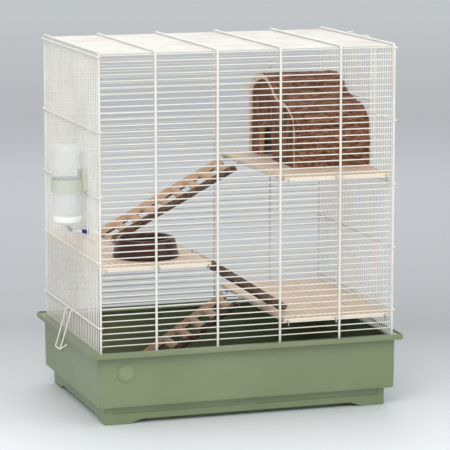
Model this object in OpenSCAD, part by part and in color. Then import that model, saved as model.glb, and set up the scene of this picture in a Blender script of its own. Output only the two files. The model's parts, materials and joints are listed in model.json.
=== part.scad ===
// Hamster cage: a plastic tray, a clip-on wire top, three wooden shelves, three ladders,
// a bark house, a food bowl and a water bottle.
// Millimetres. +X is the right side, +Y is the back and +Z is up.
// The origin is on the floor, below the middle of the tray.

/* [Wire top] */
// Width between the centres of the two end bars
mesh_w = 468; // [420:1:600]
// Depth between the centres of the front and back bars
mesh_d = 326; // [280:1:420]
// Height of the roof bars' centres above the floor
roof_z = 564.2; // [540:0.1:660]
// Thickness of the bent bars
bar_d = 3.6; // [3:0.1:4]
// Thickness of the thin wires
wire_d = 1.8; // [1.5:0.1:2]
// Distance between neighbouring thin wires
wire_pitch = 9.5; // [9:0.1:11]
// Inner corner radius of the bent bars, to the bar's centre
bend_r = 4.5; // [4:0.1:6]
// Distance from an end bar to the next bar
end_bay = 87; // [70:1:100]
// Distance between the two middle bars
mid_bay = 100; // [80:1:120]

/* [Side panels] */
// Thickness of the cross bars
cross_d = 3; // [2.4:0.1:3.4]
// Height of the lowest cross bar
cross_low_z = 152; // [145:1:160]
// Distance between the lower four cross bars
cross_pitch = 98.5; // [92:0.5:102]
// Drop from the roof bars to the top cross bar
cross_top_drop = 5.5; // [5.2:0.1:6]
// Angle that a cross bar's end wraps round the corner bar
wrap_angle = 120; // [90:5:140]

/* [Tray] */
// Height of the ledge that the wire top stands on
ledge_z = 112; // [100:1:118]
// Overhang of the rim past the bars' centres
rim_over = 15.5; // [13:0.5:20]
// Depth of the rim's turned-down edge below the ledge
lip_drop = 5.5; // [3:0.5:8]
// Height of the rim's edge above the ledge
lip_rise = 2.5; // [1:0.5:4]
// Overhang of the upper walls past the bars' centres
body_over = 5; // [3:0.5:7]
// Extra thickness of the raised pads on the two ends
pad_t = 2.5; // [1:0.5:3]
// Height of the raised pads' lower edge
pad_z = 75; // [60:1:85]
// Length of the raised pads
pad_l = 100; // [60:1:140]
// Height of the narrower base
base_h = 31; // [24:1:40]
// Inset of the base from the bars' centres
base_in = 7.5; // [5:0.5:12]
// Thickness of the tray's walls and floor
wall = 2.5; // [2:0.1:3.5]
// Height of the finger recesses under the base
arch_h = 6.5; // [4:0.5:9]
// Depth of the finger recesses
arch_depth = 20; // [12:1:30]
// Length of the foot left at each corner
foot_len = 38; // [30:1:60]
// Width of the ledge inside the bars' centres
ledge_in = 5; // [4:0.5:8]
// Corner radius of the tray's base
tray_r = 5; // [4:1:24]
// Depth of the plain panels pressed into the base
panel_depth = 1; // [0.5:0.1:1.2]

/* [Clips] */
// Thickness of the clip wire
clip_d = 2.4; // [2:0.1:2.8]
// Length of a clip's legs below the rim's edge
clip_tail = 8; // [5:1:12]

/* [Door] */
// Number of thin wires cut away for the door
door_wires_n = 13; // [9:2:17]
// Height of the door's sill
sill_z = 385; // [375:1:420]
// Thickness of the door's frame wire
door_d = 2.6; // [2.2:0.1:3]

/* [Shelves] */
// Width of the open well between the left shelf and the right shelves
well_w = 116; // [104:1:150]
// Thickness of a shelf
shelf_t = 6; // [5:0.5:7]
// Thickness of the shelf hooks
hook_d = 2; // [1.6:0.1:2.2]
// Rows of wire from the top down to the hooks of the upper right shelf
upper_row = 21; // [19:1:23]
// Rows of wire from the top down to the hooks of the left shelf
left_row = 34; // [32:1:35]
// Rows of wire from the top down to the hooks of the lower right shelf
lower_row = 44; // [42:1:44]

/* [Ladders] */
// Length of the two long ladders, from their hinge
long_ladder = 240; // [225:1:245]
// Length of the middle ladder, from its hinge
short_ladder = 155; // [148:1:170]
// Distance between a ladder's rails
rail_gap = 68; // [50:1:80]
// Diameter of the rails
rail_d = 15; // [12:0.5:17]
// Diameter of the rungs
rung_d = 9; // [6:0.5:10]
// Distance between rungs
rung_pitch = 27; // [22:1:36]

/* [Bark house] */
// Length of the house along the shelf's width
house_l = 125; // [90:1:130]
// Depth of the house
house_d = 222; // [180:1:235]
// Height of the house
house_h = 135; // [100:1:138]
// Thickness of the bark
bark_t = 6; // [4:0.5:8]
// Thickness of the end boards
board_t = 8; // [6:0.5:10]
// Width of the doorway
doorway_w = 60; // [45:1:70]
// Height of the doorway to the top of its arch
doorway_h = 56; // [45:1:65]

/* [Bowl] */
// Diameter of the bowl's foot
bowl_foot_d = 102; // [80:1:110]
// Diameter of the bowl's rim
bowl_rim_d = 90; // [70:1:95]
// Height of the bowl
bowl_h = 30; // [22:1:40]
// Thickness of the bowl's rim
bowl_wall = 6; // [4:0.5:8]

/* [Bottle] */
// Diameter of the bottle
bottle_d = 46.4; // [40:0.2:50]
// Height of the bottle's lower end
bottle_z = 314; // [310:1:318]
// Length of the bottle's body
bottle_l = 110; // [90:1:115]
// Height of the cap
cap_h = 15; // [12:1:16]
// Diameter of the blue nozzle
nozzle_d = 6; // [5:0.5:6.5]
// Diameter of the metal tube
tube_d = 5; // [4:0.5:6]
// Angle that the nozzle falls below the level
nozzle_fall = 10; // [5:1:15]

/* [Fits] */
// Gap between welded wires, so that each stays a whole wire
weld_gap = 0.05; // [0.02:0.01:0.1]
// Running clearance of an eye round a bar
eye_gap = 0.3; // [0.3:0.05:0.5]
// Gap where one loose piece rests on or beside another
rest_gap = 0.3; // [0.2:0.1:0.6]
// Gap between a shelf and the wires
shelf_gap = 1; // [0.6:0.1:2]
// Radial clearance of a screw in its hole
screw_gap = 0.05; // [0.02:0.01:0.1]

/* [Hidden] */
$fn = 48;
tiny = 0.01;

// wire top
bar_r = bar_d / 2;
wire_r = wire_d / 2;
cross_r = cross_d / 2;
hook_r = hook_d / 2;
top_row_z = roof_z - bend_r;
rows = floor((top_row_z - ledge_z - wire_d) / wire_pitch) + 1;
mesh_y = mesh_d / 2 - bar_r - wire_r - weld_gap;
roof_wire_z = roof_z - bar_r - wire_r - weld_gap;
half_bays = floor((mesh_d / 2 - bar_r - 2 * wire_d) / wire_pitch);
bar_xs = [
  for (s = [-1, 1], x = [mid_bay / 2, mesh_w / 2 - end_bay, mesh_w / 2])
    s * x
];
function row_z(k) = top_row_z - k * wire_pitch;

// tray
base_w = mesh_w - 2 * base_in;
base_d = mesh_d - 2 * base_in;
body_r = tray_r + 1;
rim_r = tray_r + 2;
lip_z = ledge_z - lip_drop;
rim_z = ledge_z + lip_rise;
pad_x = mesh_w / 2 + body_over + pad_t / 2;
pad_y = mesh_d / 2 - 15 - pad_l / 2;
arch_ramp = 20;
panel_low_z = 17;
panel_high_z = base_h - 1;
panel_w = mesh_w / 2 - 38;
badge_d = 28;
badge_t = 1.2;
badge_x = -mesh_w / 2 + 38;
badge_z = 82;

// side panels: the cross bars lie outside, the thin wires inside them
cross_x = mesh_w / 2 + bar_r + cross_r + weld_gap;
side_wire_x = cross_x - cross_r - wire_r - weld_gap;
side_wire_z = ledge_z + 1;
cross_top_z = roof_z - cross_top_drop;
cross_zs = [for (k = [0 : 3]) cross_low_z + k * cross_pitch];
third_cross_z = cross_zs[2];
door_gap_z = cross_zs[3];

// door
door_half = (door_wires_n + 1) / 2 * wire_pitch;
stile_x = cross_x - cross_d - weld_gap;
door_play = 0.5;
door_x = cross_x + cross_r + door_play + door_d / 2;
door_rail_d = door_d - 0.4;
door_w = 2 * door_half - 4;
door_top_z = cross_top_z - 6;
door_low_z = sill_z - 6;
hanger_d = 2;
hanger_tail = 8;
hanger_y = 3.5 * wire_pitch;
hanger_r = bar_r + eye_gap + hanger_d / 2;
hanger_x = door_x + door_d / 2 + hanger_d / 2 + weld_gap;
hanger_bend = 2.5;

// shelves: a hook's shank passes just over a row of wire
shelf_depth = 2 * (mesh_y - wire_r - shelf_gap);
shelf_in_x = well_w / 2;
shelf_out_x = side_wire_x - wire_r - 2 * shelf_gap;
shelf_w = shelf_out_x - shelf_in_x;
function shelf_mid_z(k) = row_z(k) + wire_r + rest_gap + hook_r;
upper_z = shelf_mid_z(upper_row);
left_z = shelf_mid_z(left_row);
lower_z = shelf_mid_z(lower_row);
hook_in = 12;
hook_out = wire_r + rest_gap + hook_r;
hook_drop = 7;
hook_xs = [shelf_in_x + 6, mesh_w / 2 - end_bay - 5, shelf_out_x - 8];

// ladders
rail_r = rail_d / 2;
staple_out = 5.5;
staple_w = 11;
staple_in = 6;
hook_ring = hook_d + eye_gap;
rail_start = 8;
rung_in = rail_r - 2;
upper_y = 80;
middle_y = -75;
lower_y = 70;
hinge_x = shelf_in_x - staple_out;
floor_z = wall;
upper_slope = slope(long_ladder, upper_z - left_z - shelf_t / 2);
middle_slope = slope(short_ladder, left_z - lower_z - shelf_t / 2);
lower_slope = slope(long_ladder, lower_z - floor_z);
// Slope at which a ladder's lower end rests on what is the given drop below its hinge
function slope(len, drop) =
  let (e = rail_r + hook_ring)
  asin((drop - rest_gap) / sqrt(len * len + e * e)) - atan(e / len);

// bark house: its section runs from the low front to the domed back
house_x = shelf_in_x + 46 + house_l / 2;
house_y = 36;
house_z = upper_z + shelf_t / 2;
house_section = [
  [0, 0], [0, 0.42], [0.014, 0.565], [0.083, 0.645], [0.156, 0.71], [0.261, 0.735],
  [0.385, 0.772], [0.45, 0.82], [0.518, 0.91], [0.61, 0.984], [0.679, 1],
  [0.775, 0.99], [0.885, 0.925], [0.968, 0.82], [1, 0.67], [1, 0]
];
outer_section = [for (p = house_section) [(p[0] - 0.5) * house_d, p[1] * house_h]];
inner_section = inset(outer_section, bark_t);
doorway_y = 37;

// bowl
bowl_x = -(shelf_in_x + 80);
bowl_y = -76;
bowl_floor = 6;

// bottle
bottle_r = bottle_d / 2;
bottle_x = -(cross_x + cross_r + 2.5 + bottle_r);
bottle_y = -9.5 * wire_pitch;
bottle_t = 1.5;
neck_r = 12;
neck_l = 8;
band_gap = 0.3;
band_wall = 1.8;
band_low = third_cross_z + cross_r + rest_gap;
band_h = 19;
bracket_h = 31;
bracket_w = 28;
tube_bend = 8;
cap_low_z = bottle_z - cap_h;
bend_end = [bottle_x + tube_bend * (1 - sin(nozzle_fall)), cap_low_z - tube_bend * cos(nozzle_fall)];
nozzle_l = 42;
ball_d = 3.6;
nozzle_z = bend_end[1] - (-cross_x - bend_end[0]) * tan(nozzle_fall);
spout_bar_z = nozzle_z - nozzle_d / 2 / cos(nozzle_fall) - rest_gap - cross_r;

// clips: an eye sits between two thin wires
clip_r = clip_d / 2;
clip_w = 3 * wire_pitch;
eye_r = cross_r + eye_gap + clip_r;
clip_out = mesh_w / 2 + rim_over + rest_gap + clip_r - cross_x;
clip_foot_z = ledge_z - lip_drop - clip_tail - cross_low_z;
clip_reach = 7;
finger_bar_d = clip_d + 0.2;

// The corners of an open outline moved inwards by t, with its two ends kept on the ground
function inset(pts, t) = [
  for (i = [0 : len(pts) - 1])
    i == 0 ? pts[0] + [t, 0]
    : i == len(pts) - 1 ? pts[i] - [t, 0]
    : pts[i] + t * corner_shift(unit(pts[i] - pts[i - 1]), unit(pts[i + 1] - pts[i]))
];
function unit(v) = v / norm(v);
function right_of(v) = [v[1], -v[0]];
function corner_shift(a, b) = (right_of(a) + right_of(b)) / (1 + a * b);

module rod_x(len, d) {
  rotate([0, 90, 0]) cylinder(h = len, d = d, center = true);
}

module rod_y(len, d) {
  rotate([90, 0, 0]) cylinder(h = len, d = d, center = true);
}

// A ring of wire round the Y axis, from the angle a0 above +X through the angle sweep
module wire_arc(r, d, a0, sweep) {
  rotate([90, 0, 0])
    rotate([0, 0, a0])
      rotate_extrude(angle = sweep)
        translate([r, 0]) circle(d = d);
}

// Round wire through corner points in the XY plane, with each corner bent to the radius r
module flat_wire(pts, d, r) {
  n = len(pts);
  dirs = [for (i = [0 : n - 2]) unit(pts[i + 1] - pts[i])];
  turns = [for (i = [0 : 1 : n - 3]) turn(dirs[i], dirs[i + 1])];
  trims = concat([0], [for (a = turns) r * tan(abs(a) / 2)], [0]);
  for (i = [0 : n - 2])
    rod_between(pts[i] + dirs[i] * trims[i], pts[i + 1] - dirs[i] * trims[i + 1], d);
  for (i = [0 : 1 : n - 3])
    bend_at(pts[i + 1] - dirs[i] * trims[i + 1], dirs[i], turns[i], d, r);
}

// The same wire with its points as [x, z], in a plane across Y
module wire(pts, d, r) {
  rotate([90, 0, 0]) flat_wire(pts, d, r);
}

function turn(a, b) = atan2(a[0] * b[1] - a[1] * b[0], a * b);

module rod_between(p, q, d) {
  translate([p[0], p[1], 0])
    rotate([0, 90, atan2(q[1] - p[1], q[0] - p[0])])
      cylinder(h = norm(q - p), d = d);
}

// A bend that starts at p in the direction v and turns by the angle a
module bend_at(p, v, a, d, r) {
  s = sign(a);
  centre = p + s * r * [-v[1], v[0]];
  start = atan2(p[1] - centre[1], p[0] - centre[0]);
  translate([centre[0], centre[1], 0])
    rotate([0, 0, s > 0 ? start : start + a])
      rotate_extrude(angle = abs(a))
        translate([r, 0]) circle(d = d);
}

module rounded(w, d, r) {
  square([w - 2 * r, d], center = true);
  square([w, d - 2 * r], center = true);
  for (x = [-1, 1], y = [-1, 1])
    translate([x * (w / 2 - r), y * (d / 2 - r)]) circle(r = r);
}

// A flat-topped slab whose edge is over past the bars' centres on all four sides
module slab(over, z0, z1, r) {
  translate([0, 0, z0])
    linear_extrude(z1 - z0)
      rounded(mesh_w + 2 * over, mesh_d + 2 * over, r);
}

module arch(len) {
  rotate([90, 0, 0])
    linear_extrude(arch_depth, center = true)
      polygon([
        [-len / 2, -1], [-len / 2, 0], [-len / 2 + arch_ramp, arch_h],
        [len / 2 - arch_ramp, arch_h], [len / 2, 0], [len / 2, -1]
      ]);
}

// Puts a piece that is as long as the finger recess at each of the base's four sides
module at_arches() {
  for (s = [-1, 1]) {
    translate([0, s * (base_d / 2 - arch_depth / 2 + tiny), 0])
      with_length(base_w - 2 * foot_len) children();
    translate([s * (base_w / 2 - arch_depth / 2 + tiny), 0, 0])
      rotate([0, 0, 90])
        with_length(base_d - 2 * foot_len) children();
  }
}

module with_length(len) {
  $arch_len = len;
  children();
}

// The tray's outer shape
module tray_outside() {
  slab(-base_in, 0, base_h, tray_r);
  slab(body_over, base_h - wall, ledge_z, body_r);
  slab(rim_over, lip_z, rim_z, rim_r);
  at_pads()
    translate([-tiny, 0, (pad_z + ledge_z) / 2 - 1])
      cube([pad_t + 2 * tiny, pad_l, ledge_z - pad_z], center = true);
}

// Puts a piece at each raised pad: at the front of the right end and the back of the left end
module at_pads() {
  for (a = [0, 180])
    rotate([0, 0, a])
      translate([pad_x, -pad_y, 0])
        children();
}

// The tray's inside, with its floor left above the finger recesses
module tray_inside() {
  difference() {
    slab(-base_in - wall, wall, base_h + tiny, tray_r - wall);
    at_arches()
      translate([0, 0, arch_h / 2 + wall / 2])
        cube([$arch_len + 2 * wall, arch_depth + 2 * wall, arch_h + wall], center = true);
  }
  slab(body_over - wall, base_h, ledge_z - wall, body_r - wall);
  slab(-ledge_in, ledge_z - wall - tiny, ledge_z + tiny, tray_r - 1);
  // the ledge between the upper walls and the rim's raised edge
  slab(rim_over - wall, ledge_z, rim_z + 1, rim_r - wall);
}

// The hollow under the rim
module rim_hollow() {
  difference() {
    slab(rim_over - wall, lip_z - 1, ledge_z - wall, rim_r - wall);
    slab(body_over + tiny, lip_z - 2, ledge_z, body_r);
    at_pads()
      translate([0, 0, lip_z])
        cube([pad_t + 2 * tiny, pad_l, 3 * lip_drop], center = true);
  }
}

module tray() {
  color([0.52, 0.58, 0.46])
  difference() {
    tray_outside();
    tray_inside();
    rim_hollow();
    at_arches() arch($arch_len);
    for (s = [-1, 1]) base_panel(s * mesh_w / 4);
  }
}

// One shallow panel pressed into the front of the base
module base_panel(x) {
  translate([x, -base_d / 2, (panel_low_z + panel_high_z) / 2])
    cube([panel_w, 2 * panel_depth, panel_high_z - panel_low_z], center = true);
}

module badge() {
  color([0.58, 0.64, 0.52])
  translate([badge_x, -(mesh_d / 2 + body_over), badge_z])
    rotate([90, 0, 0])
      cylinder(h = badge_t, d = badge_d);
}

module bent_bars() {
  color([0.96, 0.95, 0.9])
  for (x = bar_xs)
    translate([x, 0, 0]) {
      translate([0, 0, roof_z]) rod_y(mesh_d - 2 * bend_r, bar_d);
      for (s = [0, 1])
        mirror([0, s, 0]) {
          translate([0, mesh_d / 2, ledge_z]) cylinder(h = roof_z - bend_r - ledge_z, d = bar_d);
          translate([0, mesh_d / 2 - bend_r, roof_z - bend_r])
            rotate([90, 0, 90])
              rotate_extrude(angle = 90)
                translate([bend_r, 0]) circle(d = bar_d);
        }
    }
}

module wire_rows(s) {
  color([0.96, 0.95, 0.9])
  for (k = [0 : rows - 1])
    translate([0, s * mesh_y, row_z(k)]) rod_x(mesh_w + wire_d, wire_d);
}

module front_wires() {
  wire_rows(-1);
}

module back_wires() {
  wire_rows(1);
}

module roof_wires() {
  color([0.96, 0.95, 0.9])
  for (k = [-half_bays : half_bays])
    translate([0, k * wire_pitch, roof_wire_z]) rod_x(mesh_w + wire_d, wire_d);
}

// One end of a cross bar, wrapped round the back corner bar
module wrap() {
  translate([mesh_w / 2, mesh_d / 2, 0])
    rotate_extrude(angle = wrap_angle)
      translate([cross_x - mesh_w / 2, 0]) circle(d = cross_d);
}

module cross_bar(z) {
  translate([cross_x, 0, z]) rod_y(mesh_d, cross_d);
  for (s = [0, 1])
    mirror([0, s, 0]) translate([0, 0, z]) wrap();
}

// A cross bar that stops at the door's two stiles
module split_cross_bar(z) {
  for (s = [0, 1])
    mirror([0, s, 0]) {
      len = mesh_d / 2 - door_half + cross_r;
      translate([cross_x, mesh_d / 2 - len / 2, z]) rod_y(len, cross_d);
      translate([0, 0, z]) wrap();
    }
}

module left_cross_bars() {
  color([0.96, 0.95, 0.9])
  mirror([1, 0, 0])
    for (z = concat(cross_zs, [cross_top_z])) cross_bar(z);
}

module right_cross_bars() {
  color([0.96, 0.95, 0.9])
  {
    for (z = [cross_zs[0], cross_zs[1], cross_zs[2], cross_top_z]) cross_bar(z);
    split_cross_bar(door_gap_z);
  }
}

module side_wire(y, z1) {
  translate([side_wire_x, y, side_wire_z]) cylinder(h = z1 - side_wire_z, d = wire_d);
}

module left_panel_wires() {
  color([0.96, 0.95, 0.9])
  mirror([1, 0, 0])
    for (k = [-half_bays : half_bays]) side_wire(k * wire_pitch, cross_top_z + cross_r);
}

// Top of a right-hand wire: the door's wires end at the sill and the stiles' at the third cross bar
function side_top(y) =
  abs(y) < door_half - tiny ? sill_z + cross_r
  : abs(y) < door_half + tiny ? third_cross_z - cross_r - 0.5
  : cross_top_z + cross_r;

module right_panel_wires() {
  color([0.96, 0.95, 0.9])
  for (k = [-half_bays : half_bays]) side_wire(k * wire_pitch, side_top(k * wire_pitch));
}

// Short bar below the bottle, which its drinking tube rests on
module spout_bar() {
  color([0.96, 0.95, 0.9])
  translate([-cross_x, bottle_y, spout_bar_z]) rod_y(12 * wire_pitch, cross_d);
}

module door_stiles() {
  color([0.96, 0.95, 0.9])
  for (s = [-1, 1])
    translate([stile_x, s * door_half, third_cross_z - cross_r])
      cylinder(h = cross_top_z - third_cross_z + cross_d, d = cross_d);
}

module door_sill() {
  color([0.96, 0.95, 0.9])
  translate([cross_x, 0, sill_z]) rod_y(2 * door_half + cross_d, cross_d);
}

// Wire clip: two eyes on the lowest cross bar, legs down past the rim, and a bar for a finger
module clip() {
  color([0.9, 0.9, 0.88])
  translate([cross_x, 0, cross_low_z]) {
    for (s = [-1, 1])
      translate([0, s * clip_w / 2, 0]) {
        wire_arc(eye_r, clip_d, 90, 250);
        wire([[0, eye_r], [clip_out, eye_r], [clip_out, clip_foot_z],
              [clip_out + clip_reach, clip_foot_z]], clip_d, 3);
      }
    translate([clip_out + clip_reach, 0, clip_foot_z]) rod_y(clip_w + 2 * clip_d, finger_bar_d);
  }
}

module left_clip() {
  mirror([1, 0, 0]) clip();
}

module right_clip() {
  clip();
}

module door_frame() {
  color([0.96, 0.95, 0.9])
  translate([door_x, 0, 0]) {
    for (z = [door_low_z, (door_low_z + door_top_z) / 2, door_top_z])
      translate([0, 0, z]) rod_y(door_w, door_rail_d);
    for (s = [-1, 1])
      translate([0, s * door_w / 2, door_low_z - door_rail_d])
        cylinder(h = door_top_z - door_low_z + 2 * door_rail_d, d = door_d);
  }
}

module door_wires() {
  color([0.96, 0.95, 0.9])
  for (k = [-(door_wires_n - 1) / 2 : (door_wires_n - 1) / 2])
    translate([door_x + door_d / 2 + wire_r + weld_gap, k * wire_pitch, door_low_z - 1])
      cylinder(h = door_top_z - door_low_z + 2, d = wire_d);
}

// Two wires that rise from the door and curl over the roof's edge bar
module door_hangers() {
  color([0.96, 0.95, 0.9])
  for (s = [-1, 1])
    translate([0, s * hanger_y, 0]) {
      over_z = roof_z + hanger_r;
      wire([[hanger_x, door_top_z - hanger_tail], [hanger_x, over_z], [mesh_w / 2, over_z]],
           hanger_d, hanger_bend);
      translate([mesh_w / 2, 0, roof_z]) wire_arc(hanger_r, hanger_d, 90, 200);
    }
}

// A right-hand shelf, with holes in its edges for the hooks and the ladder's staples
module shelf(z, staple_ys) {
  difference() {
    translate([shelf_in_x, -shelf_depth / 2, z - shelf_t / 2])
      cube([shelf_w, shelf_depth, shelf_t]);
    for (x = hook_xs, s = [-1, 1])
      translate([x, s * (shelf_depth / 2 - hook_in / 2 + 1), z])
        rod_y(hook_in + 2, hook_d + 2 * screw_gap);
    for (y = staple_ys, s = [-1, 1])
      translate([shelf_in_x + staple_in / 2 - 1, y + s * staple_w / 2, z])
        rod_x(staple_in + 2, hook_d + 2 * screw_gap);
  }
}

function rail_ys(y) = [y - rail_gap / 2, y + rail_gap / 2];

module upper_shelf() {
  color([0.8, 0.66, 0.46]) shelf(upper_z, rail_ys(upper_y));
}

module left_shelf() {
  color([0.8, 0.66, 0.46]) mirror([1, 0, 0]) shelf(left_z, rail_ys(middle_y));
}

module lower_shelf() {
  color([0.8, 0.66, 0.46]) shelf(lower_z, rail_ys(lower_y));
}

// Hooks of one shelf: a shank in the shelf's edge, over a wire, and down behind it
module hook_set(z) {
  y_in = shelf_depth / 2 - hook_in;
  y_out = mesh_y + hook_out;
  for (x = hook_xs, s = [0, 1])
    mirror([0, s, 0])
      translate([x, 0, z])
        rotate([0, 0, 90])
          wire([[y_in, 0], [y_out, 0], [y_out, -hook_drop]], hook_d, 1.2);
}

module shelf_hooks() {
  color([0.72, 0.72, 0.74])
  {
    hook_set(upper_z);
    mirror([1, 0, 0]) hook_set(left_z);
    hook_set(lower_z);
  }
}

// U-shaped staple in a shelf's inner edge, with its bar along Y
module staple(y, z) {
  x_in = shelf_in_x + staple_in;
  translate([0, y, z])
    flat_wire([[x_in, -staple_w / 2], [hinge_x, -staple_w / 2],
               [hinge_x, staple_w / 2], [x_in, staple_w / 2]], hook_d, 1.5);
}

module ladder_staples() {
  color([0.72, 0.72, 0.74])
  {
    for (y = rail_ys(upper_y)) staple(y, upper_z);
    for (y = rail_ys(lower_y)) staple(y, lower_z);
    mirror([1, 0, 0]) for (y = rail_ys(middle_y)) staple(y, left_z);
  }
}

// Puts a ladder, made along -X from its hinge, at a right-hand shelf's inner edge
module at_hinge(y, z, angle) {
  translate([hinge_x, y, z])
    rotate([0, -angle, 0])
      children();
}

function rungs(len) = floor((len - rail_start - 24) / rung_pitch);
function rung_x(i) = -(rail_start + 14 + i * rung_pitch);

// Two log rails, with a hole for each rung's end and for the hook's shank
module rails(len) {
  hole_l = rung_in + rest_gap + 1;
  for (s = [-1, 1])
    difference() {
      translate([-(len + rail_start) / 2, s * rail_gap / 2, -hook_ring])
        rod_x(len - rail_start, rail_d);
      for (i = [0 : rungs(len)])
        translate([rung_x(i), s * ((rail_gap + hole_l) / 2 - rail_r - 1), -hook_ring])
          rod_y(hole_l, rung_d + 2 * screw_gap);
      translate([-rail_start - 4, s * rail_gap / 2, -hook_ring])
        rod_x(10, hook_d + 2 * screw_gap);
    }
}

module rung_set(len) {
  for (i = [0 : rungs(len)])
    translate([rung_x(i), 0, -hook_ring]) rod_y(rail_gap - 2 * (rail_r - rung_in), rung_d);
}

// The two hooks at a ladder's top, curled round the staples' bars
module ladder_hook_set() {
  for (s = [-1, 1])
    translate([0, s * rail_gap / 2, 0]) {
      wire_arc(hook_ring, hook_d, -90, 290);
      translate([-(rail_start + 8) / 2, 0, -hook_ring]) rod_x(rail_start + 8, hook_d);
    }
}

module upper_rails() {
  color([0.36, 0.25, 0.17]) at_hinge(upper_y, upper_z, upper_slope) rails(long_ladder);
}

module upper_rungs() {
  color([0.82, 0.7, 0.52]) at_hinge(upper_y, upper_z, upper_slope) rung_set(long_ladder);
}

module upper_ladder_hooks() {
  color([0.72, 0.72, 0.74]) at_hinge(upper_y, upper_z, upper_slope) ladder_hook_set();
}

module middle_rails() {
  color([0.36, 0.25, 0.17]) mirror([1, 0, 0]) at_hinge(middle_y, left_z, middle_slope) rails(short_ladder);
}

module middle_rungs() {
  color([0.82, 0.7, 0.52]) mirror([1, 0, 0]) at_hinge(middle_y, left_z, middle_slope) rung_set(short_ladder);
}

module middle_ladder_hooks() {
  color([0.72, 0.72, 0.74]) mirror([1, 0, 0]) at_hinge(middle_y, left_z, middle_slope) ladder_hook_set();
}

module lower_rails() {
  color([0.36, 0.25, 0.17]) at_hinge(lower_y, lower_z, lower_slope) rails(long_ladder);
}

module lower_rungs() {
  color([0.82, 0.7, 0.52]) at_hinge(lower_y, lower_z, lower_slope) rung_set(long_ladder);
}

module lower_ladder_hooks() {
  color([0.72, 0.72, 0.74]) at_hinge(lower_y, lower_z, lower_slope) ladder_hook_set();
}

// Puts a section drawn in depth and height across the house, from x0 to x1
module across_house(x0, x1) {
  translate([house_x + x0, house_y, house_z])
    rotate([90, 0, 90])
      linear_extrude(x1 - x0)
        children();
}

module bark_cover() {
  color([0.4, 0.24, 0.15])
  across_house(-house_l / 2, house_l / 2)
    difference() {
      polygon(outer_section);
      polygon(inner_section);
    }
}

module house_front_board() {
  color([0.45, 0.28, 0.18])
  across_house(-house_l / 2 + 4, -house_l / 2 + 4 + board_t)
    difference() {
      polygon(inner_section);
      translate([doorway_y, doorway_h - doorway_w / 2]) circle(d = doorway_w);
      translate([doorway_y - doorway_w / 2, -1]) square([doorway_w, doorway_h - doorway_w / 2 + 1]);
    }
}

module house_back_board() {
  color([0.45, 0.28, 0.18])
  across_house(house_l / 2 - 4 - board_t, house_l / 2 - 4)
    polygon(inner_section);
}

module bowl() {
  color([0.25, 0.15, 0.11])
  translate([bowl_x, bowl_y, left_z + shelf_t / 2])
    rotate_extrude()
      polygon([
        [0, 0], [bowl_foot_d / 2 - 2, 0], [bowl_foot_d / 2, 2],
        [bowl_rim_d / 2, bowl_h - 2], [bowl_rim_d / 2 - 2, bowl_h],
        [bowl_rim_d / 2 - bowl_wall, bowl_h], [bowl_rim_d / 2 - bowl_wall - 3, bowl_floor + 4],
        [bowl_rim_d / 2 - bowl_wall - 8, bowl_floor], [0, bowl_floor]
      ]);
}

// Clear bottle, hung neck down
module bottle() {
  t = bottle_t;
  color([0.85, 0.9, 0.92, 0.5])
  translate([bottle_x, bottle_y, bottle_z])
    rotate_extrude()
      polygon([
        [neck_r - t, -neck_l], [neck_r, -neck_l], [neck_r, 0], [bottle_r - 3, 0], [bottle_r, 5],
        [bottle_r, bottle_l - 8], [bottle_r - 5, bottle_l], [0, bottle_l],
        [0, bottle_l - t], [bottle_r - 5 - t / 2, bottle_l - t],
        [bottle_r - t, bottle_l - 8 - t / 2], [bottle_r - t, 5 + t / 2],
        [bottle_r - 3 - t / 2, t], [neck_r - t, t]
      ]);
}

module bottle_cap() {
  hole_r = tube_d / 2 + screw_gap;
  seat_r = neck_r + screw_gap;
  color([0.95, 0.95, 0.93])
  translate([bottle_x, bottle_y, bottle_z])
    rotate_extrude()
      polygon([
        [hole_r, -cap_h], [9, -cap_h], [bottle_r - 5, -cap_h + 4], [bottle_r - 1, -4],
        [bottle_r - 1, -screw_gap], [seat_r, -screw_gap], [seat_r, -neck_l - screw_gap],
        [hole_r, -neck_l - screw_gap]
      ]);
}

// Puts a piece drawn along +X at the end of the tube's bend, where the tube slopes inwards
module at_bend_end() {
  translate([bend_end[0], bottle_y, bend_end[1]])
    rotate([0, nozzle_fall, 0])
      children();
}

module drinking_tube() {
  color([0.75, 0.76, 0.78]) {
    translate([bottle_x, bottle_y, cap_low_z])
      cylinder(h = cap_h - neck_l - 2 * screw_gap, d = tube_d);
    translate([bottle_x + tube_bend, bottle_y, cap_low_z])
      wire_arc(tube_bend, tube_d, 180, 90 - nozzle_fall);
  }
}

// Blue nozzle with a seat for the ball in its tip
module nozzle() {
  color([0.16, 0.4, 0.72])
  at_bend_end()
    difference() {
      translate([(nozzle_l + weld_gap) / 2, 0, 0]) rod_x(nozzle_l - weld_gap, nozzle_d);
      translate([nozzle_l, 0, 0]) rod_x(2 * ball_d, ball_d + 4 * screw_gap);
    }
}

module nozzle_ball() {
  color([0.8, 0.8, 0.82])
  at_bend_end()
    translate([nozzle_l - ball_d / 4, 0, 0]) sphere(d = ball_d);
}

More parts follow.
